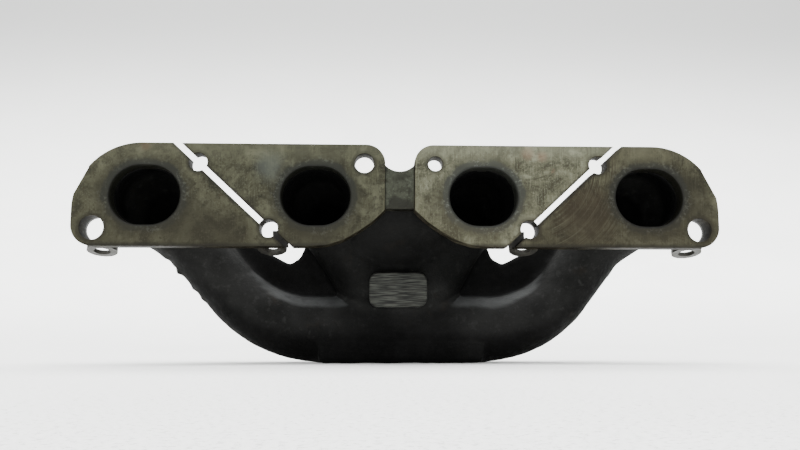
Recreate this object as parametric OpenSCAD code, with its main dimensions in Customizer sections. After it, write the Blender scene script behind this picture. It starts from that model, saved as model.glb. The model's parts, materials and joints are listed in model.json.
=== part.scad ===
// Four-port cast-iron exhaust manifold for an inline four-cylinder engine.
// Millimetres. X runs along the cylinder head, Y points away from the head, Z is up.
// The origin is the bottom centre of the whole part, with the head face towards -Y.

/* [Overall] */
// distance between neighbouring ports
port_pitch = 96; // [80:1:110]
// height of the port centres above the surface the part stands on
port_height = 95.5; // [90:0.5:120]
// distance from the head face to the outlet face
outlet_depth = 108; // [100:1:140]

/* [Head flanges] */
// thickness of the four port flanges
flange_thickness = 11.5; // [8:0.5:16]
// height of the flanges above the port centres
flange_rise = 30; // [28:0.5:36]
// height of the flanges below the port centres
flange_drop = 29; // [28:0.5:36]
// how far the outer flanges reach past the outer port centres
flange_end = 40.2; // [36:0.1:50]
// gap between the two inner flanges
centre_gap = 16.8; // [12:0.2:24]
// radius of the upper corners next to the centre gap
inner_corner_radius = 11; // [6:0.5:14]
// radius of the lower outer corners
outer_corner_radius = 12; // [6:0.5:15]
// radius of the large upper outer corners
crown_radius = 38; // [30:0.5:38]

/* [Ports] */
// width of a port opening
port_width = 39; // [36:0.5:46]
// height of a port opening
port_opening_height = 33.5; // [32:0.5:36]

/* [Bolt holes] */
// diameter of the two end holes
end_hole_diameter = 13.7; // [10:0.1:15]
// diameter of the four holes that the saw cuts run through
cut_hole_diameter = 10.5; // [8:0.1:12]
// diameter of the clearance hole beside the centre gap
centre_hole_diameter = 11.1; // [8:0.1:12]
// diameter of the locating hole beside the centre gap
locating_hole_diameter = 8.4; // [6:0.1:10]
// distance of the end holes outside the outer port centres
end_hole_offset = 28.7; // [27:0.1:32]
// height of the lower holes below the port centres
lower_hole_drop = 18.7; // [16:0.1:22]
// height of the upper holes above the port centres
upper_hole_rise = 19; // [16:0.1:21]
// distance of the centre holes from the middle of the part
centre_hole_offset = 20.4; // [18:0.1:24]
// distance of the upper cut holes inside the outer port centres
upper_cut_offset = 29.3; // [28:0.1:32]
// distance of the lower cut holes outside the inner port centres
lower_cut_offset = 26.3; // [26:0.1:30]

/* [Expansion cuts] */
// width of the saw cuts between neighbouring flanges
cut_width = 3.3; // [2:0.1:5]

/* [Runners] */
// inside radius of the runners
runner_bore_radius = 15.5; // [13:0.5:17.5]
// thickness of the cast walls
wall = 4.2; // [3.5:0.1:6]
// straight length behind the head face before the runners bend
stub_length = 20; // [14:0.5:26]
// centreline radius of the bend behind each flange
bend_radius = 30; // [26:0.5:34]
// centreline radius of the long curve of the outer runners
sweep_radius = 69; // [60:0.5:80]
// how far the long curves start beyond one runner radius from the middle
belly_margin = 30.3; // [24:0.1:36]

/* [Collector and outlet] */
// how much wider the collector is than the runners, on the radius
collector_swell = 2; // [0.5:0.1:3]
// width of the flat foot under the collector, across the runners
foot_width = 36; // [24:1:38]
// height of the outlet centre above the collector's centreline
outlet_rise = 23.8; // [18:0.1:28]
// radius of the outlet bore
outlet_bore_radius = 21; // [19:0.5:23]
// thickness of the outlet flange
outlet_flange_thickness = 12; // [8:0.5:16]
// radius of the circle that the outlet studs stand on
stud_circle_radius = 38; // [36:0.5:42]
// radius of the outlet studs
stud_radius = 5; // [4:0.5:5]
// how far the studs stand out of the outlet face
stud_length = 26; // [16:1:34]
// how much wider the fixed ends of the studs are, on the radius
stud_shoulder = 0.6; // [0.2:0.1:1]

/* [Clamp pad] */
// width of the machined pad on the collector
pad_width = 34.4; // [26:0.2:38]
// height of the machined pad on the collector
pad_height = 20.7; // [16:0.1:26]
// height of the pad centre above the collector's centreline
pad_rise = 21.8; // [16:0.1:26]
// how far the pad stands out in front of the collector
pad_stand = 1.8; // [1:0.1:4]

/* [Webs] */
// how far the centre web sits behind the head face
web_recess = 3; // [1:0.5:5]
// thickness of the gussets between inner and outer runners
gusset_thickness = 10; // [6:0.5:14]
// how far the middle of the gussets sits behind the runners' centrelines
gusset_setback = 8; // [0:0.5:10]

/* [Shield tabs] */
// thickness of the bent steel tabs
tab_thickness = 2.5; // [1.5:0.1:3]
// outside radius of the tab eyelets
eyelet_radius = 8.6; // [7:0.1:10]
// hole radius of the tab eyelets
eyelet_hole_radius = 4.8; // [3:0.1:5.5]
// tilt of the eyelets from upright
eyelet_tilt = 82; // [40:1:85]

/* [Hidden] */
$fn = 72;

iron = [0.23, 0.22, 0.2];
machined = [0.5, 0.49, 0.44];
steel = [0.62, 0.62, 0.6];

inner_port = port_pitch / 2;
outer_port = inner_port + port_pitch;
runner_radius = runner_bore_radius + wall;
collector_radius = runner_radius + collector_swell;
belly_drop = port_height - collector_radius;
belly_half_length = runner_radius + belly_margin;
run_depth = stub_length + bend_radius;
outlet_drop = belly_drop - outlet_rise;
pad_drop = belly_drop - pad_rise;
pad_front = run_depth - collector_radius - pad_stand;
// height of the long curve's centre above the port centres
sweep_rise = sweep_radius - belly_drop;
sweep_offset = outer_port - belly_half_length;
sweep_reach = sqrt(sweep_offset * sweep_offset + sweep_rise * sweep_rise);
// slope at which an outer runner leaves its bend, so that it meets the long curve smoothly
outer_slope = asin(sweep_radius / sweep_reach) - atan(sweep_rise / sweep_offset);
outer_straight = sqrt(sweep_reach * sweep_reach - sweep_radius * sweep_radius) - bend_radius;
// slope at which an inner runner heads for the middle of the collector
inner_slope = atan(belly_drop / inner_port);
inner_straight = sqrt(belly_drop * belly_drop + inner_port * inner_port) - bend_radius;
flange_outer = outer_port + flange_end;
flange_inner = centre_gap / 2;
upper_cut_x = outer_port - upper_cut_offset;
lower_cut_x = inner_port + lower_cut_offset;
end_hole_x = outer_port + end_hole_offset;
cut_angle = atan((upper_hole_rise + lower_hole_drop) / (upper_cut_x - lower_cut_x));
total_depth = outlet_depth + stud_length;
// straight pipe pieces reach this far into the bends, and the outer one is this much thinner
hair = 0.1;

// moves from the head-face frame (origin between the ports) to the part's frame
module placed() {
    translate([0, -total_depth / 2, port_height]) children();
}

// drawn for the left half, so this makes the right-hand twin
module twin() {
    mirror([1, 0, 0]) children();
}

// a flat shape in X and Z, standing between two depths
module upright(front, back) {
    translate([0, back, 0]) rotate([90, 0, 0]) linear_extrude(back - front) children();
}

// ---- head flanges ----

module port_shape(extra) {
    slide = (port_width - port_opening_height) / 2;
    radius = port_opening_height / 2 + extra;
    for (side = [-1, 1]) translate([side * slide, 0]) circle(r = radius);
    translate([-slide, -radius]) square([2 * slide, 2 * radius]);
}

// one side of the saw cut: the outer side carries the outer port
module outer_side() {
    translate([-upper_cut_x, upper_hole_rise]) rotate(-cut_angle)
        translate([-200, -200]) square([400, 200 - cut_width / 2]);
}

module inner_side() {
    translate([-upper_cut_x, upper_hole_rise]) rotate(-cut_angle)
        translate([-200, cut_width / 2]) square([400, 200]);
}

// what a rounded corner takes away from the square one whose tip is at the origin
module corner_cut(radius) {
    difference() {
        translate([-radius, -radius]) square([radius + 1, radius + 1]);
        translate([-radius, -radius]) circle(r = radius);
    }
}

module outer_outline() {
    corner = [-flange_outer, flange_rise];
    difference() {
        translate([-flange_outer, -flange_drop]) square([130, flange_rise + flange_drop]);
        translate(corner) mirror([1, 0]) corner_cut(crown_radius);
        // the straight cut between the crown and the upright end
        translate(corner) polygon([[8.8, -14.2], [0, -31.5], [-2, -31.5], [-2, -10]]);
        translate([-flange_outer, -flange_drop]) mirror([1, 0]) mirror([0, 1])
            corner_cut(outer_corner_radius);
    }
}

module inner_outline() {
    low = -flange_drop;
    edge = -flange_inner;
    difference() {
        translate([-160, low]) square([160 + edge, flange_rise + flange_drop]);
        translate([edge, flange_rise]) corner_cut(inner_corner_radius);
        polygon([[0, -8], [edge, -8], [edge - 7, -14.7], [edge - 14.4, -19.9], [edge - 23.6, low + 3.7],
            [edge - 32.6, low + 0.8], [edge - 42.6, low], [edge - 42.6, low - 1], [0, low - 1]]);
    }
}

module left_holes() {
    translate([-end_hole_x, -lower_hole_drop]) circle(d = end_hole_diameter);
    translate([-upper_cut_x, upper_hole_rise]) circle(d = cut_hole_diameter);
    translate([-lower_cut_x, -lower_hole_drop]) circle(d = cut_hole_diameter);
}

module left_outer_flange() {
    upright(0, flange_thickness) difference() {
        intersection() {
            outer_outline();
            outer_side();
        }
        left_holes();
        translate([-outer_port, 0]) port_shape(0);
    }
}

module left_inner_flange(hole) {
    upright(0, flange_thickness) difference() {
        intersection() {
            inner_outline();
            inner_side();
        }
        left_holes();
        translate([-inner_port, 0]) port_shape(0);
        translate([-centre_hole_offset, upper_hole_rise]) circle(d = hole);
    }
}

module port_flange_1() {
    color(machined) placed() left_outer_flange();
}

module port_flange_2() {
    color(machined) placed() left_inner_flange(centre_hole_diameter);
}

module port_flange_3() {
    color(machined) placed() twin() left_inner_flange(locating_hole_diameter);
}

module port_flange_4() {
    color(machined) placed() twin() left_outer_flange();
}

// ---- gas path and runners ----

// the tubes are built from pipe pieces that meet end to end, each with its own hole;
// a hole radius of 0 makes a piece solid

module ring(radius, hole) {
    difference() {
        circle(r = radius);
        if (hole > 0) circle(r = hole);
    }
}

// moves to a port, with X turned down the runner's slope
module from_port(port, slope) {
    translate([-port, 0, 0]) rotate([0, slope, 0]) children();
}

// straight piece between the flange and the bend, which keeps the port's shape
module stub(port) {
    translate([-port, 0, 0]) upright(flange_thickness, stub_length + hair) difference() {
        port_shape(wall);
        port_shape(0);
    }
}

module bend(port, slope, radius, hole) {
    from_port(port, slope) translate([bend_radius, stub_length, 0]) rotate([0, 0, 90])
        rotate_extrude(angle = 90) translate([bend_radius, 0]) ring(radius, hole);
}

module slide(port, slope, run, radius, hole, early) {
    from_port(port, slope) translate([bend_radius - early, run_depth, 0]) rotate([0, 90, 0])
        linear_extrude(run + early + hair) ring(radius, hole);
}

module inner_slide(radius, hole) {
    slide(inner_port, inner_slope, inner_straight, radius, hole, hair);
}

module outer_slide(radius, hole) {
    slide(outer_port, outer_slope, outer_straight, radius, hole, hair);
}

module inner_bend(radius, hole) {
    bend(inner_port, inner_slope, radius, hole);
}

module sweep(radius, hole) {
    translate([-belly_half_length, run_depth, sweep_rise]) rotate([90, 0, 0])
        rotate([0, 0, 270 - outer_slope]) rotate_extrude(angle = outer_slope)
            translate([sweep_radius, 0]) ring(radius, hole);
}

module belly_tube(radius) {
    translate([-belly_half_length, run_depth, -belly_drop]) rotate([0, 90, 0])
        cylinder(r = radius, h = 2 * belly_half_length);
}

module neck_bore() {
    translate([0, run_depth, -outlet_drop]) rotate([-90, 0, 0])
        cylinder(r = outlet_bore_radius, h = outlet_depth);
}

module neck_tube() {
    translate([0, 0, -outlet_drop]) upright(run_depth, outlet_depth - outlet_flange_thickness)
        ring(outlet_bore_radius + wall, outlet_bore_radius);
}

module left_side() {
    translate([-250, -50, -200]) cube([250, 300, 400]);
}

module left_outer_runner() {
    union() {
        stub(outer_port);
        bend(outer_port, outer_slope, runner_radius, runner_bore_radius);
    }
    union() {
        outer_slide(runner_radius - hair, runner_bore_radius + hair);
        sweep(runner_radius, runner_bore_radius);
    }
}

module left_inner_runner() {
    stub(inner_port);
    inner_bend(runner_radius, runner_bore_radius);
    difference() {
        intersection() {
            inner_slide(runner_radius - hair, runner_bore_radius + hair);
            left_side();
        }
        belly_tube(collector_radius);
        neck_bore();
    }
}

module runner_1() {
    color(iron) placed() left_outer_runner();
}

module runner_2() {
    color(iron) placed() left_inner_runner();
}

module runner_3() {
    color(iron) placed() twin() left_inner_runner();
}

module runner_4() {
    color(iron) placed() twin() left_outer_runner();
}

// ---- collector, pad and outlet ----

module foot() {
    ahead = 0.92 * collector_radius;
    foot_height = collector_radius - sqrt(collector_radius * collector_radius - ahead * ahead);
    translate([-belly_half_length, run_depth - ahead, -port_height])
        cube([2 * belly_half_length, foot_width, foot_height]);
}

module collector() {
    color(iron) placed() difference() {
        union() {
            belly_tube(collector_radius);
            foot();
        }
        belly_tube(collector_radius - wall);
        inner_slide(runner_bore_radius, 0);
        twin() inner_slide(runner_bore_radius, 0);
        neck_bore();
    }
}

module pad_outline() {
    corner = 5.5;
    across = pad_width / 2;
    up = pad_height / 2;
    square([pad_width, pad_height - 2 * corner], center = true);
    square([pad_width - 2 * corner, pad_height], center = true);
    for (x = [-1, 1]) for (z = [-1, 1])
        translate([x * (across - corner), z * (up - corner)]) circle(r = corner);
}

module clamp_pad() {
    color(machined) placed() difference() {
        translate([0, 0, -pad_drop]) upright(pad_front, run_depth) pad_outline();
        belly_tube(collector_radius);
        inner_slide(runner_radius, 0);
        twin() inner_slide(runner_radius, 0);
        neck_bore();
        translate([-4, pad_front + 7.5, -pad_drop - 20]) cube([8, 40, 40]);
    }
}

module outlet_neck() {
    color(iron) placed() difference() {
        neck_tube();
        belly_tube(collector_radius);
        inner_slide(runner_radius, 0);
        twin() inner_slide(runner_radius, 0);
    }
}

module stud_places() {
    for (turn = [90, 210, 330]) rotate(turn) translate([stud_circle_radius, 0]) children();
}

module outlet_flange() {
    color(machined) placed() translate([0, 0, -outlet_drop])
        upright(outlet_depth - outlet_flange_thickness, outlet_depth) difference() {
            union() {
                circle(r = outlet_bore_radius + 11);
                stud_places() circle(r = stud_radius + 7);
                stud_places() translate([-16, -stud_radius - 7]) square([16, 2 * stud_radius + 14]);
            }
            circle(r = outlet_bore_radius);
            stud_places() circle(r = stud_radius + stud_shoulder);
        }
}

module stud(turn) {
    color(steel) placed() translate([0, 0, -outlet_drop]) rotate([0, -turn, 0])
        translate([stud_circle_radius, outlet_depth, 0]) {
            rotate([-90, 0, 0]) cylinder(r = stud_radius, h = stud_length);
            rotate([90, 0, 0])
                cylinder(r = stud_radius + stud_shoulder, h = outlet_flange_thickness);
        }
}

module outlet_stud_1() {
    stud(90);
}

module outlet_stud_2() {
    stud(210);
}

module outlet_stud_3() {
    stud(330);
}

// ---- webs ----

module centre_web() {
    color(iron) placed() upright(web_recess, flange_thickness) difference() {
        translate([-flange_inner, -7]) square([centre_gap, 28]);
        translate([0, 15 + flange_inner + 3]) circle(r = flange_inner + 3);
    }
}

module inner_tube() {
    translate([-inner_port, 0, 0]) upright(0, stub_length + hair) port_shape(wall);
    inner_bend(runner_radius, 0);
    inner_slide(runner_radius, 0);
}

// a sloping wall between the inner runners, from behind the web down to the collector
module valley_web() {
    low = belly_drop - 18;
    color(iron) placed() difference() {
        translate([12 - inner_port, 0, 0]) rotate([90, 0, 90]) linear_extrude(2 * inner_port - 24)
            polygon([[flange_thickness, 14], [22, 14], [24, -10], [run_depth - 4, 12 - low],
                [run_depth - 4, -low], [run_depth - 12, -low], [flange_thickness, -18]]);
        inner_tube();
        twin() inner_tube();
        belly_tube(collector_radius);
        translate([-50, 0, -pad_drop - 12]) cube([100, 100, 12 + pad_height / 2]);
    }
}

// a point beside the long curve, at a turn from its lowest point and a distance inside it
function beside(turn, inside) = [-belly_half_length - (sweep_radius - inside) * sin(turn),
    sweep_rise - (sweep_radius - inside) * cos(turn)];

module left_gusset() {
    front = run_depth + gusset_setback - gusset_thickness / 2;
    top = -flange_drop;
    start = beside(outer_slope - 6, 3);
    end = -inner_port - 9;
    across = end - start[0];
    difference() {
        upright(front, front + gusset_thickness)
            polygon([start, [start[0] + 2, top + 7], [end - 0.5 * across, top + 6],
                [end - 0.2 * across, top - 5], [end - 0.08 * across, top - 2],
                [end, top + 7], [8 - inner_port, top + 9],
                [-0.66 * inner_port, -0.73 * belly_drop], [-0.75 * inner_port, -0.9 * belly_drop],
                beside(28, 4)]);
        sweep(runner_radius, 0);
        slide(outer_port, outer_slope, outer_straight + 1, runner_radius - hair, 0, bend_radius);
        slide(inner_port, inner_slope, inner_straight, runner_radius, 0, bend_radius);
        belly_tube(collector_radius);
    }
}

module gusset_left() {
    color(iron) placed() left_gusset();
}

module gusset_right() {
    color(iron) placed() twin() left_gusset();
}

// ---- shield tabs ----

module tab(hole_x, hole) {
    back = flange_thickness + tab_thickness;
    rim = hole / 2 + tab_thickness;
    translate([-hole_x, 0, -lower_hole_drop]) {
        upright(flange_thickness, back) difference() {
            union() {
                circle(r = rim);
                translate([-5.5, -rim - 0.4]) square([11, rim]);
            }
            circle(r = hole / 2);
        }
        translate([0, back, -rim]) rotate([eyelet_tilt - 90, 0, 0])
            translate([0, eyelet_radius - 1, 0]) difference() {
                union() {
                    cylinder(r = eyelet_radius, h = tab_thickness);
                    translate([-5, -eyelet_radius - 1, 0]) cube([10, 5, tab_thickness]);
                }
                translate([0, 0, -1]) cylinder(r = eyelet_hole_radius, h = tab_thickness + 2);
            }
    }
}

module shield_tab_1() {
    color(steel) placed() tab(end_hole_x, end_hole_diameter);
}

module shield_tab_2() {
    color(steel) placed() tab(lower_cut_x, cut_hole_diameter);
}

module shield_tab_3() {
    color(steel) placed() twin() tab(lower_cut_x, cut_hole_diameter);
}

module shield_tab_4() {
    color(steel) placed() twin() tab(end_hole_x, end_hole_diameter);
}

port_flange_1();
port_flange_2();
port_flange_3();
port_flange_4();
centre_web();
valley_web();
runner_1();
runner_2();
runner_3();
runner_4();
gusset_left();
gusset_right();
collector();
clamp_pad();
outlet_neck();
outlet_flange();
outlet_stud_1();
outlet_stud_2();
outlet_stud_3();
shield_tab_1();
shield_tab_2();
shield_tab_3();
shield_tab_4();
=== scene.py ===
import json
import math
import bpy
import bmesh
from mathutils import Matrix, Vector, noise

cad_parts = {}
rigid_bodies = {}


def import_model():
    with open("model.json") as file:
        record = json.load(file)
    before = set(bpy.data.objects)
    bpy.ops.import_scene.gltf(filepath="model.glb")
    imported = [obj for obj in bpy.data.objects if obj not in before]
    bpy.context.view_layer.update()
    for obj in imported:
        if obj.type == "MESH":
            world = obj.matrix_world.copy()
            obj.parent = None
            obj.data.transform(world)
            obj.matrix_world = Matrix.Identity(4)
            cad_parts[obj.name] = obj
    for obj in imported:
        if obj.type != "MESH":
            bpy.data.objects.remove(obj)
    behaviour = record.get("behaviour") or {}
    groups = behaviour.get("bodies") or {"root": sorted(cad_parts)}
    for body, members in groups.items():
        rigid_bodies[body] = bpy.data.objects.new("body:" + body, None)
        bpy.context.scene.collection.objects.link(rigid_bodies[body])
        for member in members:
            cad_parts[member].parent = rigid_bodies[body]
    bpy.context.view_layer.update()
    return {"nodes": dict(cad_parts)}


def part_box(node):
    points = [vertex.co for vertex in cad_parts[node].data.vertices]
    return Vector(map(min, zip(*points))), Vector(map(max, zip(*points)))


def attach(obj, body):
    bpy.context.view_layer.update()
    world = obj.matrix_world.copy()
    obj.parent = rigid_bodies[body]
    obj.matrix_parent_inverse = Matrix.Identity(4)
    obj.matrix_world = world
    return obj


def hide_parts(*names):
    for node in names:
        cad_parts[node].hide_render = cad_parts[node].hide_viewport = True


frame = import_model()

mm = 0.001
faceLow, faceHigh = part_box("port_flange_1")
faceY = faceLow[1]
portZ = faceHigh[2] - 0.030  # the flanges reach 30 mm above the port centres
xAxis, yAxis, zAxis = Vector((1, 0, 0)), Vector((0, 1, 0)), Vector((0, 0, 1))


def at(x, y, z):  # millimetres from the middle of the head face
    return Vector((x * mm, faceY + y * mm, portZ + z * mm))


# small mesh helpers

def newObject(name, bm):
    mesh = bpy.data.meshes.new(name)
    bm.to_mesh(mesh)
    bm.free()
    obj = bpy.data.objects.new(name, mesh)
    bpy.context.scene.collection.objects.link(obj)
    return obj


def bakeModifiers(obj):
    graph = bpy.context.evaluated_depsgraph_get()
    mesh = bpy.data.meshes.new_from_object(obj.evaluated_get(graph))
    old = obj.data
    obj.modifiers.clear()
    obj.data = mesh
    bpy.data.meshes.remove(old)


def finishPiece(obj, material, nodes, smoothAngle=35):
    obj.data.materials.clear()
    obj.data.materials.append(material)
    for face in obj.data.polygons:
        face.use_smooth = True
    if smoothAngle:
        obj.data.set_sharp_from_angle(angle=math.radians(smoothAngle))
    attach(obj, "root")
    if nodes:
        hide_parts(*nodes)


def section(bm, centre, u, v, ru, rv, segments=40):
    n = u.cross(v)
    place = Matrix((
        (u.x * ru, v.x * rv, n.x, centre.x),
        (u.y * ru, v.y * rv, n.y, centre.y),
        (u.z * ru, v.z * rv, n.z, centre.z),
        (0, 0, 0, 1)))
    ring = bmesh.ops.create_circle(bm, segments=segments, radius=1, matrix=place)["verts"]
    return list({e for p in ring for e in p.link_edges})


def loft(bm, stations):  # stations: (centre, u, v, ru, rv) along a path
    rings = [section(bm, *s) for s in stations]
    for a, b in zip(rings, rings[1:]):
        bmesh.ops.bridge_loops(bm, edges=a + b)
    bmesh.ops.holes_fill(bm, edges=rings[0] + rings[-1], sides=0)


def copyOfNode(bm, node):  # joins a merged copy of a CAD node
    piece = bmesh.new()
    piece.from_mesh(frame["nodes"][node].data)
    bmesh.ops.remove_doubles(piece, verts=piece.verts, dist=2e-6)
    mesh = bpy.data.meshes.new("copy")
    piece.to_mesh(mesh)
    piece.free()
    bm.from_mesh(mesh)
    bpy.data.meshes.remove(mesh)


# the course of the runners

course = {
    "innerPort": 48, "outerPort": 144,   # port centres
    "stub": 20, "bend": 30,              # straight behind the face, bend radius
    "sweep": 69.8, "bellyHalf": 50.0,    # long curve radius, half length of the belly
    "bellyDrop": 75.6,
    "flare": 6.5, "lean": 2.4,           # wider at the flange, sideways lean of the casting
    "shoulder": 1.9,                     # the outer bends stand out a little
}


def runnerStations(side, outer, thin, thick, start=12):
    # the tube grows from thin at the flange to thick at the collector
    c = course
    port = c["outerPort"] if outer else c["innerPort"]
    depth = c["stub"] + c["bend"]
    if outer:
        rise = c["sweep"] - c["bellyDrop"]
        dx = port - c["bellyHalf"]
        reach = math.hypot(dx, rise)
        slope = math.asin(c["sweep"] / reach) - math.atan2(rise, dx)
        run = math.sqrt(reach ** 2 - c["sweep"] ** 2) - c["bend"]
    else:
        slope = math.atan2(c["bellyDrop"], port)
        run = math.hypot(c["bellyDrop"], port) - c["bend"]
    down = Vector((math.cos(slope), 0, -math.sin(slope)))
    across = yAxis.cross(down)
    origin = Vector((-port, 0, 0))
    points = [(origin + yAxis * start, yAxis, across)]
    steps = 12
    for i in range(steps + 1):
        a = math.pi / 2 * i / steps
        p = origin + yAxis * (c["stub"] + c["bend"] * math.sin(a)) + down * c["bend"] * (1 - math.cos(a))
        t = yAxis * math.cos(a) + down * math.sin(a)
        points.append((p, t, across))
    end = origin + yAxis * depth + down * (c["bend"] + run)
    if outer:
        steps = 16
        centre = Vector((-c["bellyHalf"], depth, rise))
        for i in range(steps + 1):
            a = slope * (1 - i / steps)
            t = Vector((math.cos(a), 0, -math.sin(a)))
            n = Vector((math.sin(a), 0, math.cos(a)))
            points.append((centre - n * c["sweep"], t, yAxis.cross(t)))
        points.append((Vector((0, depth, -c["bellyDrop"])), xAxis.copy(), yAxis.cross(xAxis)))
    else:
        points.append((end, down, across))
    out = []
    for i, (p, t, u) in enumerate(points):
        k = max(0, (i - 13) / (len(points) - 14))
        flare = (c["flare"] if outer else 3.0) * max(0, 1 - i / 14)
        shoulder = c["shoulder"] * math.sin(math.pi * min(1, i / 13)) if outer and thin else 0
        r = (thin + (thick - thin) * k + flare + shoulder) * mm if thin else 0
        p = p - xAxis * shoulder
        v = t.cross(u)
        lean = c["lean"] * min(1, max(0, (-20 - p.z) / 55))
        mirror = Vector((side, 1, 1))
        out.append((at(p.x * side + lean, p.y, p.z), u * mirror, v * mirror, r, r))
    return out


# cast body

castShape = {
    "voxel": 1.5, "smoothSteps": 4,
    "outerThin": 17.0, "outerThick": 19.9,
    "innerThin": 18.6, "innerThick": 21.0, "bore": 13.6,
    "stubWide": 23.8, "stubHigh": 21.0,
    "collector": 20.2, "collectorBore": 16.3,
    "neck": 25.2, "neckBore": 21.1, "outletDrop": 50,
    "lump": 0.32, "grain": 0.15, "gussetThick": 10,
    "gusset": ((-112, -40), (-101, -17), (-83, -26.5), (-67, -34.6), (-60.5, -31), (-57, -22), (-40, -18),
               (-28, -54), (-30, -72), (-88, -72)),
}


def stubStations(x, wide, high, y0, y1, flare):
    out = []
    for i in range(6):
        k = i / 5
        y = y0 + (y1 - y0) * k
        g = flare * (1 - k) ** 2
        out.append((at(x, y, 0), xAxis, -zAxis, (wide + g) * mm, (high + g) * mm))
    return out


def sandLumps(bm):
    # ragged sand marks along the outside of the outer runners
    for side, along, back, size in ((-1, -14, -8, 2.2), (-1, -8, 2, 1.9), (-1, -2, -4, 2.4), (-1, 5, 1, 1.7),
                                    (-1, 11, -3, 2.2), (-1, 17, 3, 1.6), (-1, 24, 0, 1.9), (-1, 33, -2, 1.4),
                                    (1, -10, -3, 1.8), (1, 0, 2, 1.5), (1, 13, 0, 1.6)):
        path = runnerStations(-side, True, 0, 0)
        p, q = path[12][0], path[14][0]
        ahead = (q - p).normalized()
        out = Vector((ahead.z * -side, 0, ahead.x * side)).normalized()
        if out.z > 0:
            out.negate()
        reach = castShape["outerThin"] + 0.2 + max(0, -along) * 0.1
        place = p + ahead * (along * mm) + out * (reach * mm) + yAxis * (back * mm)
        spot = Matrix.Translation(place)
        bmesh.ops.create_icosphere(bm, subdivisions=2, radius=size * 1.15 * mm, matrix=spot)


def buildCastBody():
    s = castShape
    bm = bmesh.new()
    for side in (-1, 1):
        loft(bm, runnerStations(-side, True, s["outerThin"], s["outerThick"]))
        loft(bm, runnerStations(-side, False, s["innerThin"], s["innerThick"]))
    for x in (-144, -48, 48, 144):
        loft(bm, stubStations(x, s["stubWide"], s["stubHigh"], 9.0, 23, 3.0))
    # column between the inner runners, from behind the web down to the collector
    column = (
        (15.5, 11, 26, 4.5), (17.5, -2, 26, 5.5), (24, -14, 26, 8), (37, -26, 28, 11),
        (46, -36, 29, 12), (49, -46, 31, 16), (50, -58, 35, 20.5), (50, -73, 40, 21.5))
    loft(bm, [(at(0, y, z), xAxis, yAxis, w * mm, d * mm) for y, z, w, d in column])
    # collector and the pad's boss
    loft(bm, [(at(x, 50, -course["bellyDrop"]), yAxis, zAxis, s["collector"] * mm, s["collector"] * mm)
              for x in (-48, -22, 0, 22, 54)])
    loft(bm, [(at(0, y, -52), xAxis, -zAxis, (18.6 + g) * mm, (11.2 + g) * mm)
              for y, g in ((28.2, -1.0), (29.0, 0), (34, 0.8), (38, 3), (44, 5))])
    foot = bmesh.ops.create_cube(bm, size=1, matrix=Matrix.LocRotScale(
        at(2, 48, -89.5), None, Vector((98 * mm, 35.5 * mm, 11.6 * mm))))["verts"]
    bmesh.ops.bevel(bm, geom=list({e for v in foot for e in v.link_edges}), offset=1.5 * mm,
                    segments=2, profile=0.5, affect="EDGES", material=-1)
    # outlet neck
    loft(bm, [(at(0, y, -s["outletDrop"]), xAxis, -zAxis, (s["neck"] + g) * mm, (s["neck"] + g) * mm)
              for y, g in ((50, 3), (62, 2.4), (74, 0.8), (86, 0), (92, 1), (98, 3.4))])
    for side in (-1, 1):  # gussets between the runners, with an open window above them
        corners = [bm.verts.new(at(-x * side + (2 if z < -40 else 0), 53, z)) for x, z in s["gusset"]]
        plate = bmesh.ops.extrude_face_region(bm, geom=[bm.faces.new(corners)])["geom"]
        bmesh.ops.translate(bm, verts=[g for g in plate if isinstance(g, bmesh.types.BMVert)],
                            vec=yAxis * s["gussetThick"] * mm)
    sandLumps(bm)
    bmesh.ops.recalc_face_normals(bm, faces=bm.faces)
    body = newObject("castBody", bm)
    remesh = body.modifiers.new("remesh", "REMESH")
    remesh.mode = "VOXEL"
    remesh.voxel_size = s["voxel"] * mm
    bakeModifiers(body)

    bm = bmesh.new()
    bm.from_mesh(body.data)
    for i in range(s["smoothSteps"]):
        bmesh.ops.smooth_vert(bm, verts=bm.verts, factor=0.5,
                              use_axis_x=True, use_axis_y=True, use_axis_z=True)
    bm.to_mesh(body.data)
    bm.free()

    # gas path, cut out in one go
    bm = bmesh.new()
    for side in (-1, 1):
        loft(bm, runnerStations(-side, True, s["bore"], s["bore"], 16))
        loft(bm, runnerStations(-side, False, s["bore"], s["bore"], 16))
    for x in (-144, -48, 48, 144):
        loft(bm, stubStations(x, 19.6, 16.9, 4, 16, 0))
        loft(bm, [(at(x, y, 0), xAxis, -zAxis, w * mm, h * mm)
                  for y, w, h in ((15, 19.6, 16.9), (19, 18.6, 16.6), (24, 16.2, 15.8), (28, 14.6, 14.6))])
    bore = s["collectorBore"] * mm
    loft(bm, [(at(x, 50, -course["bellyDrop"]), yAxis, zAxis, bore, bore) for x in (-44, -22, 0, 22, 44)])
    loft(bm, [(at(0, y, -s["outletDrop"]), xAxis, -zAxis, s["neckBore"] * mm, s["neckBore"] * mm)
              for y in (50, 70, 90, 104)])
    bmesh.ops.recalc_face_normals(bm, faces=bm.faces)
    bore = newObject("boreCutter", bm)
    remesh = bore.modifiers.new("remesh", "REMESH")
    remesh.mode = "VOXEL"
    remesh.voxel_size = 1.8 * mm
    bakeModifiers(bore)
    cut = body.modifiers.new("cut", "BOOLEAN")
    cut.operation = "DIFFERENCE"
    cut.solver = "EXACT"
    cut.object = bore
    bakeModifiers(body)
    bpy.data.objects.remove(bore)

    bm = bmesh.new()
    bm.from_mesh(body.data)
    bmesh.ops.remove_doubles(bm, verts=bm.verts, dist=0.05 * mm)
    bm.normal_update()
    for p in bm.verts:  # uneven sand-cast skin
        q = p.co * 1000
        lump = noise.noise(q / 14) * s["lump"] + noise.noise(q / 4.5) * s["grain"]
        p.co += p.normal * lump * mm
    bm.to_mesh(body.data)
    bm.free()
    return body


# materials

# ports in metres: middle of each pair, half the pitch, half the flat of their rounded outline
ports = {"pairMiddle": 0.096, "halfPitch": 0.048, "halfFlat": 0.00275}


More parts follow.
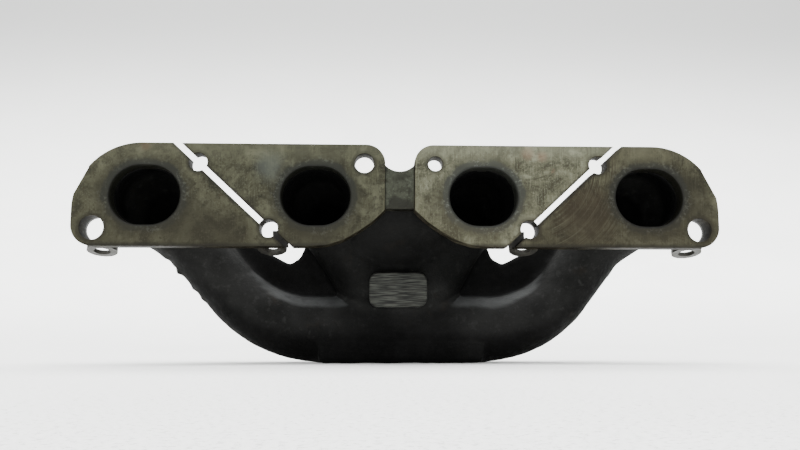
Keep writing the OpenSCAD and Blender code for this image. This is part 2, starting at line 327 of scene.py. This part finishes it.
class Nodes:
    def __init__(self, name):
        self.mat = bpy.data.materials.new(name)
        self.mat.use_nodes = True
        self.tree = self.mat.node_tree
        self.shader = self.tree.nodes["Principled BSDF"]
        self.coords = self.add("ShaderNodeTexCoord").outputs["Object"]

    def add(self, kind, **settings):
        node = self.tree.nodes.new(kind)
        for key, value in settings.items():
            setattr(node, key, value)
        return node

    def put(self, socket, value):
        if hasattr(value, "is_output"):
            self.tree.links.new(value, socket)
        else:
            socket.default_value = value

    def math(self, operation, a, b=0.0, clamp=False):
        node = self.add("ShaderNodeMath", operation=operation, use_clamp=clamp)
        self.put(node.inputs[0], a)
        self.put(node.inputs[1], b)
        return node.outputs[0]

    def times(self, a, b):
        return self.math("MULTIPLY", a, b)

    def plus(self, a, b):
        return self.math("ADD", a, b)

    def minus(self, a, b):
        return self.math("SUBTRACT", a, b)

    def distance(self, dx, dz):
        return self.math("SQRT", self.plus(self.times(dx, dx), self.times(dz, dz)))

    def noise(self, scale, detail=4.0, rough=0.55, vector=None, distortion=0.0):
        node = self.add("ShaderNodeTexNoise")
        self.put(node.inputs["Vector"], vector or self.coords)
        self.put(node.inputs["Scale"], scale)
        self.put(node.inputs["Detail"], detail)
        self.put(node.inputs["Roughness"], rough)
        self.put(node.inputs["Distortion"], distortion)
        return node.outputs["Fac"]

    def mapping(self, location=(0, 0, 0), rotation=(0, 0, 0), scale=(1, 1, 1), vector=None):
        node = self.add("ShaderNodeMapping")
        self.put(node.inputs["Vector"], vector or self.coords)
        self.put(node.inputs["Location"], location)
        self.put(node.inputs["Rotation"], rotation)
        self.put(node.inputs["Scale"], scale)
        return node.outputs[0]

    def span(self, value, low, high, a=0.0, b=1.0):  # smooth step from low to high
        node = self.add("ShaderNodeMapRange", interpolation_type="SMOOTHSTEP")
        for key, x in (("Value", value), ("From Min", low), ("From Max", high), ("To Min", a), ("To Max", b)):
            self.put(node.inputs[key], x)
        return node.outputs[0]

    def mix(self, factor, a, b, blend="MIX"):
        node = self.add("ShaderNodeMix", data_type="RGBA", blend_type=blend)
        self.put(node.inputs[0], factor)
        self.put(node.inputs[6], a if hasattr(a, "is_output") else (*a, 1))
        self.put(node.inputs[7], b if hasattr(b, "is_output") else (*b, 1))
        return node.outputs[2]

    def portRing(self, x, z):  # distance from the nearest port, following its rounded outline
        dx = self.minus(self.math("ABSOLUTE", self.minus(self.math("ABSOLUTE", x), ports["pairMiddle"])),
                        ports["halfPitch"])
        dx = self.math("MAXIMUM", self.minus(self.math("ABSOLUTE", dx), ports["halfFlat"]), 0.0)
        return self.distance(dx, self.minus(z, portZ))

    def bump(self, height, strength, distance, normal=None):
        node = self.add("ShaderNodeBump")
        self.put(node.inputs["Height"], height)
        self.put(node.inputs["Strength"], strength)
        self.put(node.inputs["Distance"], distance)
        if normal:
            self.put(node.inputs["Normal"], normal)
        return node.outputs[0]


# in the iron look, 'crest' is a painted highlight colour, 'deep' a painted shade colour, and 'underside' how
# far painted shade darkens downward faces
ironLook = {
    "dark": (0.006, 0.0062, 0.0057), "mid": (0.0145, 0.0145, 0.0138), "dust": (0.036, 0.036, 0.0345),
    "rust": (0.028, 0.021, 0.015), "crest": (0.054, 0.056, 0.055), "grainScale": 900, "lumpScale": 160,
    "underside": 0.35, "deep": (0.003, 0.003, 0.003),
}


def castIronMaterial():
    k = ironLook
    n = Nodes("castIron")
    big = n.noise(26, 3, 0.6)
    small = n.noise(230, 5, 0.6)
    grain = n.noise(k["grainScale"], 3, 0.7)
    color = n.mix(n.span(big, 0.35, 0.65), k["dark"], k["mid"])
    color = n.mix(n.times(n.span(small, 0.52, 0.74), 0.4), color, k["dust"])
    rust = n.times(n.span(n.noise(60, 4, 0.65), 0.58, 0.72), 0.2)
    color = n.mix(rust, color, k["rust"])
    color = n.mix(n.times(n.span(grain, 0.58, 0.78), 0.2), color, (0.06, 0.06, 0.058))
    # painted shade: lower and downward faces are darkened, most of all close to the floor; upward faces keep
    # their dust flecks
    up = n.add("ShaderNodeSeparateXYZ")
    n.put(up.inputs[0], n.add("ShaderNodeNewGeometry").outputs["Normal"])
    split = n.add("ShaderNodeSeparateXYZ")
    n.put(split.inputs[0], n.coords)
    # painted highlight: a patchy light band on the up-facing tops of the outer runners; painted shade in the
    # recess behind them
    x, y, z = split.outputs
    wide = n.span(n.math("ABSOLUTE", n.minus(x, 0.0025)), 0.024, 0.034)
    low = n.span(z, 0.062, 0.052)
    crestHighlight = n.times(n.times(n.span(up.outputs[2], 0.62, 0.78), low), wide)
    crestHighlight = n.times(crestHighlight, n.span(n.noise(90, 4, 0.6), 0.2, 0.5, 0.25, 1.0))
    color = n.mix(n.times(crestHighlight, 0.8), color, k["crest"])
    # painted shade on the recess wall behind the outer runners
    recessShade = n.times(n.span(y, faceY + 0.048, faceY + 0.0525), n.span(y, faceY + 0.066, faceY + 0.06))
    recessShade = n.times(recessShade, n.span(z, 0.030, 0.036))
    color = n.mix(n.times(recessShade, 0.75), color, k["deep"])
    ring = n.portRing(x, z)
    # painted shade deep inside the ports, near black
    boreShade = n.times(n.span(ring, 0.0202, 0.0196), n.span(y, faceY + 0.036, faceY + 0.028))
    color = n.mix(boreShade, color, k["deep"])
    # painted shade on downward faces low on the casting, darker still close to the floor
    under = n.times(n.span(up.outputs[2], 0.0, -0.42), n.span(z, 0.098, 0.034))
    shade = n.times(n.minus(1.0, n.times(under, 1 - k["underside"])),
                   n.span(z, 0.004, 0.03, 0.3, 1.0))
    far = n.math("ABSOLUTE", x)  # painted shade between the runners and under the pad
    betweenShade = n.times(n.span(z, 0.041, 0.050), n.span(far, 0.096, 0.078))
    betweenShade = n.math("MAXIMUM", betweenShade, n.times(n.span(z, 0.036, 0.028), n.span(far, 0.046, 0.028)))
    shade = n.times(shade, n.minus(1.0, n.times(betweenShade, 0.52)))
    gray = n.add("ShaderNodeCombineXYZ")
    for i in range(3):
        n.put(gray.inputs[i], shade)
    color = n.mix(1.0, color, gray.outputs[0], "MULTIPLY")
    n.put(n.shader.inputs["Base Color"], color)
    n.put(n.shader.inputs["Roughness"], n.span(small, 0.3, 0.7, 0.66, 0.88))
    n.shader.inputs["Metallic"].default_value = 0.0
    n.shader.inputs["Specular IOR Level"].default_value = 0.06
    bump = n.bump(n.noise(k["lumpScale"], 4, 0.6), 0.5, 0.0012)
    bump = n.bump(grain, 0.55, 0.0005, bump)
    n.put(n.shader.inputs["Normal"], bump)
    return n.mat


faceLook = {
    "dark": (0.030, 0.028, 0.018), "mid": (0.085, 0.083, 0.058), "light": (0.20, 0.20, 0.155),
    "soot": (0.030, 0.031, 0.028), "ash": (0.20, 0.21, 0.21), "rust": (0.15, 0.075, 0.05),
    "side": (0.011, 0.0095, 0.007), "hole": (0.014, 0.012, 0.009),
    "lip": (0.012, 0.0125, 0.012),
}


# the saw cuts: their upper hole in metres from the middle, and the unit vector along them
sawCut = {"holeX": 0.1147, "holeZ": 0.019, "slopeX": 0.731, "slopeZ": 0.682}


def machinedMaterial(name, style):
    k = faceLook
    n = Nodes(name)
    split = n.add("ShaderNodeSeparateXYZ")
    n.put(split.inputs[0], n.coords)
    x, y, z = split.outputs
    blotch = n.noise(52, 6, 0.66, distortion=0.8)
    cloud = n.noise(150, 5, 0.66, distortion=0.4)
    fine = n.noise(760, 5, 0.75)
    pits = n.noise(330, 5, 0.7)
    color = n.mix(n.span(blotch, 0.38, 0.5), k["dark"], k["mid"])
    color = n.mix(n.times(n.span(blotch, 0.48, 0.68), style["light"]), color, k["light"])
    color = n.mix(n.times(n.span(cloud, 0.5, 0.6), 0.6), color, k["dark"])
    color = n.mix(n.times(n.span(fine, 0.5, 0.66), 0.5), color, k["light"])
    color = n.mix(n.times(n.span(pits, 0.56, 0.66), 0.6), color, k["dark"])
    lines = n.noise(1, 3, 0.6, n.mapping(rotation=(0, style["angle"], 0), scale=(1500, 1, 70)))
    color = n.mix(n.times(n.span(lines, 0.5, 0.72), style["streak"]), color, k["light"])
    scratch = n.noise(1, 2, 0.5, n.mapping(rotation=(0, style["angle"] + 0.5, 0), scale=(520, 1, 26)))
    color = n.mix(n.times(n.span(scratch, 0.64, 0.72), style["streak"]), color, k["dark"])
    color = n.mix(n.times(n.span(n.noise(75, 4, 0.7), 0.62, 0.74), 0.25), color, k["rust"])

    if "swirl" in style:  # arcs left by the milling cutter
        cx, cz, left, right = style["swirl"]
        d = n.distance(n.minus(x, cx * mm), n.minus(z, portZ + cz * mm))
        arc = n.add("ShaderNodeCombineXYZ")
        n.put(arc.inputs[0], n.times(d, 1300))
        n.put(arc.inputs[1], n.times(z, 30))
        arcs = n.noise(1, 3, 0.6, arc.outputs[0])
        where = n.times(n.span(x, left * mm, (left + 6) * mm), n.span(x, (right + 6) * mm, right * mm))
        color = n.mix(n.times(where, n.span(arcs, 0.46, 0.66, 0, 0.75)), color, (0.032, 0.022, 0.013))
        color = n.mix(n.times(where, n.span(arcs, 0.44, 0.34, 0, 0.5)), color, k["light"])

    def near(cx, cz, inner, outer, wobble=1.6):  # 1 inside a wobbly disc
        d = n.distance(n.minus(x, cx * mm), n.minus(z, portZ + cz * mm))
        d = n.plus(d, n.times(n.minus(n.noise(160, 4, 0.7), 0.5), 2 * wobble * mm))
        return n.span(d, outer * mm, inner * mm)

    for cx, cz, size, soft, tone, strength in style["stains"]:
        spot = near(cx, cz, size - soft, size + soft, size * 0.5)
        color = n.mix(n.times(spot, strength), color, k.get(tone, tone))
    # soot and ash around the port; the grey ash speckle is also a painted highlight standing in for the lit
    # chamfer of the port rim
    ring = n.portRing(x, z)
    ragged = n.plus(ring, n.times(n.minus(n.noise(120, 5, 0.7), 0.5), 0.009))
    halo = n.times(n.span(ragged, 0.0265, 0.0215), 0.55)
    color = n.mix(halo, color, k["dark"])
    soot = n.times(n.span(ragged, 0.0218, 0.0196), 0.92)
    color = n.mix(soot, color, k["soot"])
    speckle = n.times(n.span(n.noise(480, 4, 0.8), 0.5, 0.62), n.span(n.noise(60, 3), 0.42, 0.58))
    color = n.mix(n.times(speckle, n.times(n.span(ragged, 0.0245, 0.0215), 0.3)), color, k["ash"])
    # grime along the saw cuts, by the distance from their line through the upper hole
    c = sawCut
    cut = n.minus(n.times(n.minus(n.math("ABSOLUTE", x), c["holeX"]), c["slopeZ"]),
                  n.times(n.minus(z, portZ + c["holeZ"]), c["slopeX"]))
    cut = n.plus(n.math("ABSOLUTE", cut), n.times(n.minus(n.noise(210, 4, 0.7), 0.5), 0.004))
    color = n.mix(n.times(n.span(cut, 0.0034, 0.0024), style["grime"]), color, k["hole"])
    # darker rings round the bolt holes
    for hx, hz, size in style["holes"]:
        color = n.mix(n.times(near(hx, hz, size + 0.6, size + 2.6, 0.8), 0.6), color, k["hole"])
    # only the milled front is clean; sides and back stay dark
    facing = n.add("ShaderNodeSeparateXYZ")
    n.put(facing.inputs[0], n.add("ShaderNodeNewGeometry").outputs["Normal"])
    level = faceY + style.get("deep", 0)
    front = n.times(n.span(y, level + 0.0014, level + 0.0005), n.span(facing.outputs[1], -0.72, -0.96))
    side = n.mix(n.span(n.noise(140, 4, 0.6), 0.4, 0.75), k["side"], (0.05, 0.044, 0.032))
    # the face gets browner and darker downwards and lighter near the top; the dark lower rim is painted shade
    # along the bottom edge
    color = n.mix(n.times(n.span(z, portZ + 0.012, portZ - 0.03), 0.45), color, (0.040, 0.034, 0.020))
    color = n.mix(n.times(n.span(z, portZ + 0.016, portZ + 0.028), 0.3), color, k["light"])
    color = n.mix(n.times(n.span(z, portZ - 0.0262, portZ - 0.0285), 0.7), color, k["side"])
    color = n.mix(front, side, color)
    color = n.mix(n.times(n.span(ring, 0.0186, 0.0172), 0.9), color, k["lip"])
    color = n.mix(1.0, color, style["tint"], "MULTIPLY")
    n.put(n.shader.inputs["Base Color"], color)
    n.put(n.shader.inputs["Roughness"], n.span(fine, 0.3, 0.7, 0.45, 0.66))
    n.put(n.shader.inputs["Metallic"], n.times(front, 0.35))
    n.put(n.shader.inputs["Specular IOR Level"], n.plus(0.03, n.times(front, 0.19)))
    bump = n.bump(lines, 0.14, 0.0002)
    bump = n.bump(scratch, 0.2, 0.0002, bump)
    bump = n.bump(n.noise(420, 4, 0.75), 0.3, 0.0004, bump)
    n.put(n.shader.inputs["Normal"], bump)
    return n.mat


def steelMaterial(name, base, rough, metallic):
    n = Nodes(name)
    cloud = n.noise(220, 4, 0.6)
    color = n.mix(n.span(cloud, 0.35, 0.7), tuple(c * 0.55 for c in base), base)
    heat = (0.5 * base[0], 0.35 * base[1], 0.25 * base[2])
    color = n.mix(n.times(n.span(n.noise(500, 3, 0.7), 0.58, 0.7), 0.5), color, heat)
    n.put(n.shader.inputs["Base Color"], color)
    n.put(n.shader.inputs["Roughness"], n.span(cloud, 0.3, 0.7, rough, rough + 0.2))
    n.shader.inputs["Metallic"].default_value = metallic
    n.put(n.shader.inputs["Normal"], n.bump(n.noise(1500, 2, 0.6), 0.25, 0.0002))
    return n.mat


def padMaterial():
    n = Nodes("milledPad")
    lines = n.noise(1, 2, 0.5, n.mapping(scale=(90, 1, 1900)))
    coarse = n.noise(1, 1, 0.5, n.mapping(scale=(12, 1, 420)))
    cloud = n.noise(150, 4, 0.6)
    color = n.mix(n.span(lines, 0.38, 0.64), (0.004, 0.004, 0.0035), (0.042, 0.044, 0.037))
    color = n.mix(n.times(n.span(cloud, 0.48, 0.7), 0.5), color, (0.02, 0.02, 0.016))
    n.put(n.shader.inputs["Base Color"], color)
    n.shader.inputs["Roughness"].default_value = 0.5
    n.shader.inputs["Metallic"].default_value = 0.3
    n.shader.inputs["Specular IOR Level"].default_value = 0.2
    n.put(n.shader.inputs["Normal"], n.bump(coarse, 0.6, 0.0006, n.bump(lines, 0.35, 0.0003)))
    return n.mat


# flange plates, pad, outlet flange, studs and tabs

plateEdges = {"front": 0.7, "back": 1.3, "port": 1.5}
portReach = 0.0175  # metres round a port within which an edge is its rim


def bevelNode(name, node, frontWidth, backWidth, portWidth=0, limit=28):
    bm = bmesh.new()
    copyOfNode(bm, node)
    bmesh.ops.recalc_face_normals(bm, faces=bm.faces)
    bmesh.ops.dissolve_limit(bm, angle_limit=math.radians(1), verts=bm.verts, edges=bm.edges)
    low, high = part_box(node)

    def roundEdges(plane, width, test):
        edges = []
        for e in bm.edges:
            if len(e.link_faces) != 2 or e.calc_face_angle(0) < math.radians(limit):
                continue
            if all(abs(v.co.y - plane) < 1e-5 and test(v.co) for v in e.verts):
                edges.append(e)
        if edges and width:
            bmesh.ops.bevel(bm, geom=edges, offset=width * mm, segments=4, profile=0.5, affect="EDGES",
                            material=-1, clamp_overlap=True)

    def atPort(co):
        dx = abs(abs(abs(co.x) - ports["pairMiddle"]) - ports["halfPitch"])
        return bool(portWidth) and math.hypot(max(dx - ports["halfFlat"], 0), co.z - portZ) < portReach

    roundEdges(low[1], portWidth, atPort)
    roundEdges(low[1], frontWidth, lambda co: not atPort(co))
    roundEdges(high[1], backWidth, lambda co: True)
    bmesh.ops.triangulate(bm, faces=[f for f in bm.faces if len(f.verts) > 4])
    return newObject(name, bm)


tabShape = {"droop": 14, "lift": 0.9, "outerDroop": 8, "earWidth": 9, "earThick": 2.2, "earHeight": 9.5}


def bendTab(tab, side, inner):
    # the eyelets droop; the inner plates also close the lower end of the saw cuts
    bm = bmesh.new()
    bm.from_mesh(tab.data)
    t = tabShape
    hinge = at(side * 74.3, 14, -26.4)
    loose = [v for v in bm.verts if v.co.y > hinge.y + 0.0006]
    droop = t["droop" if inner else "outerDroop"]
    bmesh.ops.rotate(bm, verts=loose, cent=hinge, matrix=Matrix.Rotation(math.radians(-droop), 3, "X"))
    if inner:
        bmesh.ops.translate(bm, verts=loose, vec=zAxis * t["lift"] * mm)
        ear = Vector((t["earWidth"], t["earThick"], t["earHeight"])) * mm
        bmesh.ops.create_cube(bm, size=1, matrix=Matrix.LocRotScale(at(side * 68.6, 12.8, -23.6), None, ear))
    bm.to_mesh(tab.data)
    bm.free()


def threadedStud(name, node):
    low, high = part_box(node)
    x, z = (low[0] + high[0]) / 2, (low[2] + high[2]) / 2
    tip, root = high[1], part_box("outlet_flange")[1][1]
    core, crest, pitch = 4.35 * mm, 4.98 * mm, 1.5 * mm
    bm = bmesh.new()
    profile = [(0, root - 8 * mm), (core, root - 8 * mm), (core, root + 0.4 * mm),
               (crest, root + 0.6 * mm), (crest, root + 4 * mm)]
    y = root + 4.4 * mm
    while y < tip - 2.2 * mm:
        profile += [(core, y), (crest, y + pitch / 2)]
        y += pitch
    profile += [(core, tip - 1.4 * mm), (core * 0.75, tip), (0, tip)]
    verts = [bm.verts.new((x + r, py, z)) for r, py in profile]
    edges = [bm.edges.new(pair) for pair in zip(verts, verts[1:])]
    bmesh.ops.spin(bm, geom=verts + edges, cent=(x, 0, z), axis=(0, 1, 0), angle=2 * math.pi,
                   steps=40, use_merge=True)
    bmesh.ops.remove_doubles(bm, verts=bm.verts, dist=0.01 * mm)
    bmesh.ops.recalc_face_normals(bm, faces=bm.faces)
    return newObject(name, bm)


castIron = castIronMaterial()
body = buildCastBody()
finishPiece(body, castIron, ["runner_1", "runner_2", "runner_3", "runner_4", "collector", "valley_web",
                             "gusset_left", "gusset_right", "outlet_neck"], 0)
print("cast body:", len(body.data.polygons), "faces")

# stains: x, z, size, softness (mm), tone, strength
plateStyles = {
    "port_flange_1": {
        "tint": (0.46, 0.46, 0.38), "grime": 0.7, "light": 0.62, "angle": 0.3, "streak": 0.2,
        "holes": ((-172.7, -18.7, 6.85), (-114.7, 19, 5.25), (-74.3, -18.7, 5.25)),
        "stains": ((-144.5, 28, 2.4, 1.6, "rust", 0.55), (-120, -14, 13, 8, "dark", 0.5),
                   (-168, 6, 9, 6, "mid", 0.4), (-100, -22, 12, 7, "dark", 0.45))},
    "port_flange_2": {
        "tint": (0.46, 0.465, 0.385), "grime": 0.7, "light": 0.75, "angle": -0.5, "streak": 0.3,
        "holes": ((-114.7, 19, 5.25), (-74.3, -18.7, 5.25), (-20.4, 19, 5.55)),
        "stains": ((-74, 17, 8, 5, (0.13, 0.145, 0.15), 0.55), (-56, 25, 5, 3, "hole", 0.55),
                   (-40, 24, 4, 3, "dark", 0.6), (-50, -26, 12, 6, "dark", 0.5))},
    "port_flange_3": {
        "tint": (0.95, 0.97, 0.88), "grime": 0.6, "light": 0.95, "angle": 0.55, "streak": 0.4,
        "holes": ((114.7, 19, 5.25), (74.3, -18.7, 5.25), (20.4, 19, 4.2)),
        "stains": ((74, 25.5, 3.2, 2, "rust", 0.5), (82, 24, 2.6, 2, "rust", 0.55),
                   (66, 27, 3, 2, "hole", 0.4), (24, -2, 10, 6, "dark", 0.5))},
    "port_flange_4": {
        "swirl": (70, 20, 84, 122),
        "tint": (0.47, 0.455, 0.37), "grime": 0.75, "light": 0.7, "angle": 0.05, "streak": 0.45,
        "holes": ((172.7, -18.7, 6.85), (114.7, 19, 5.25), (74.3, -18.7, 5.25)),
        "stains": ((108, -10, 15, 8, (0.045, 0.032, 0.02), 0.6), (168, 4, 11, 6, "dark", 0.6),
                   (176, -8, 6, 4, "dark", 0.5), (140, 27, 6, 4, "light", 0.4))},
}
for node, style in plateStyles.items():
    plate = bevelNode("plate" + node[-1], node, plateEdges["front"], plateEdges["back"], plateEdges["port"])
    finishPiece(plate, machinedMaterial("milledFace" + node[-1], style), [node], 30)
print("port flanges done")

web = bevelNode("web", "centre_web", 1.2, 0.6)
# the web's first stain, a dark disc over its lower half, is painted shade standing in for the valley below
# the web's top
webStyle = {"tint": (0.42, 0.46, 0.45), "grime": 0, "light": 0.6, "angle": 1.5, "streak": 0.1, "holes": (),
            "deep": 0.003, "stains": ((0, -9, 9, 1.2, "hole", 0.75), (0, 12, 4, 3, "dark", 0.5))}
finishPiece(web, machinedMaterial("webFace", webStyle), ["centre_web"], 30)

pad = bevelNode("pad", "clamp_pad", 0.8, 0)
finishPiece(pad, padMaterial(), ["clamp_pad"], 30)

outlet = bevelNode("outletFlange", "outlet_flange", 1.2, 0.8)
outletStyle = {"tint": (0.9, 0.9, 0.88), "grime": 0, "light": 0.5, "angle": 0.2, "streak": 0.2,
               "holes": (), "stains": ()}
finishPiece(outlet, machinedMaterial("outletFace", outletStyle), ["outlet_flange"], 30)

studSteel = steelMaterial("studSteel", (0.3, 0.27, 0.23), 0.42, 0.85)
for i in (1, 2, 3):
    node = "outlet_stud_%d" % i
    finishPiece(threadedStud("stud%d" % i, node), studSteel, [node], 30)

tabSteel = steelMaterial("tabSteel", (0.034, 0.032, 0.026), 0.42, 0.35)
for i in (1, 2, 3, 4):
    tab = bevelNode("tab%d" % i, "shield_tab_%d" % i, 0, 0)
    bendTab(tab, -1 if i < 3 else 1, i in (2, 3))
    finishPiece(tab, tabSteel, ["shield_tab_%d" % i], 30)
print("fittings done")


# stage, light and camera

stageLook = {
    "paper": (0.88, 0.885, 0.865), "worldLight": 1.25,
    "topPower": 215.0, "frontPower": 1.6, "glow": 1.7,
}


def buildStage():
    bm = bmesh.new()
    base = [bm.verts.new((-4, -3.0, 0)), bm.verts.new((4, -3.0, 0))]
    edge = bm.edges.new(base)
    line = [(-3.0, 0.0), (0.3, 0.0)]
    for i in range(1, 25):
        a = math.pi / 2 * i / 24
        line.append((0.3 + 2.4 * math.sin(a), 2.4 * (1 - math.cos(a))))
    line.append((2.7, 4.5))
    current = [edge]
    for (y0, z0), (y1, z1) in zip(line, line[1:]):
        made = bmesh.ops.extrude_edge_only(bm, edges=current)["geom"]
        moved = [g for g in made if isinstance(g, bmesh.types.BMVert)]
        bmesh.ops.translate(bm, verts=moved, vec=(0, y1 - y0, z1 - z0))
        current = [g for g in made if isinstance(g, bmesh.types.BMEdge)
                   and all(v in moved for v in g.verts)]
    bmesh.ops.recalc_face_normals(bm, faces=bm.faces)
    stage = newObject("backdrop", bm)
    n = Nodes("paper")
    paper = stageLook["paper"]
    tone = n.mix(n.span(n.noise(5, 4, 0.6), 0.3, 0.7), tuple(c * 0.95 for c in paper), paper)
    fleck = tuple(c * 0.45 for c in paper)
    tone = n.mix(n.times(n.span(n.noise(520, 4, 0.85), 0.5, 0.6), 0.6), tone, fleck)
    split = n.add("ShaderNodeSeparateXYZ")
    n.put(split.inputs[0], n.coords)
    # painted shade: the backdrop darkens upwards, for light falling off with height
    tone = n.mix(n.span(split.outputs[2], 0.3, 1.2), tone, tuple(c * 0.42 for c in paper))
    n.put(n.shader.inputs["Base Color"], tone)
    n.shader.inputs["Roughness"].default_value = 0.9
    # painted light: the backdrop glows, weakly on the floor near the object as a painted shadow and more
    # strongly farther back
    n.put(n.shader.inputs["Emission Color"], tone)
    n.put(n.shader.inputs["Emission Strength"], n.span(split.outputs[1], 0.3, 1.1, 0.3, stageLook["glow"]))
    stage.data.materials.append(n.mat)
    for f in stage.data.polygons:
        f.use_smooth = True


def areaLight(name, place, target, size, power):
    data = bpy.data.lights.new(name, "AREA")
    data.shape = "RECTANGLE"
    data.size, data.size_y = size
    data.energy = power
    lamp = bpy.data.objects.new(name, data)
    lamp.location = place
    lamp.rotation_euler = (Vector(target) - Vector(place)).to_track_quat("-Z", "Y").to_euler()
    bpy.context.scene.collection.objects.link(lamp)


buildStage()
areaLight("topLight", (0, 0.3, 2.1), (0, 0.1, 0.0), (3.0, 2.2), stageLook["topPower"])
areaLight("frontLight", (-0.3, -1.4, 0.8), (0, 0, 0.08), (0.9, 0.6), stageLook["frontPower"])
world = bpy.data.worlds.new("studio")
bpy.context.scene.world = world
world.use_nodes = True
world.node_tree.nodes["Background"].inputs[0].default_value = (0.95, 0.97, 1.0, 1)
world.node_tree.nodes["Background"].inputs[1].default_value = stageLook["worldLight"]

cameraLook = {"place": (-0.0185, -0.5165, 0.0205), "pitch": 7.4, "yaw": -2.35, "roll": 0.02, "focal": 800}
camData = bpy.data.cameras.new("camera")
camData.sensor_width = 36
camData.lens = cameraLook["focal"] * 36 / 800
camera = bpy.data.objects.new("camera", camData)
camera.location = cameraLook["place"]
turn = (90 + cameraLook["pitch"], cameraLook["roll"], cameraLook["yaw"])
camera.rotation_euler = [math.radians(a) for a in turn]
bpy.context.scene.collection.objects.link(camera)
bpy.context.scene.camera = camera
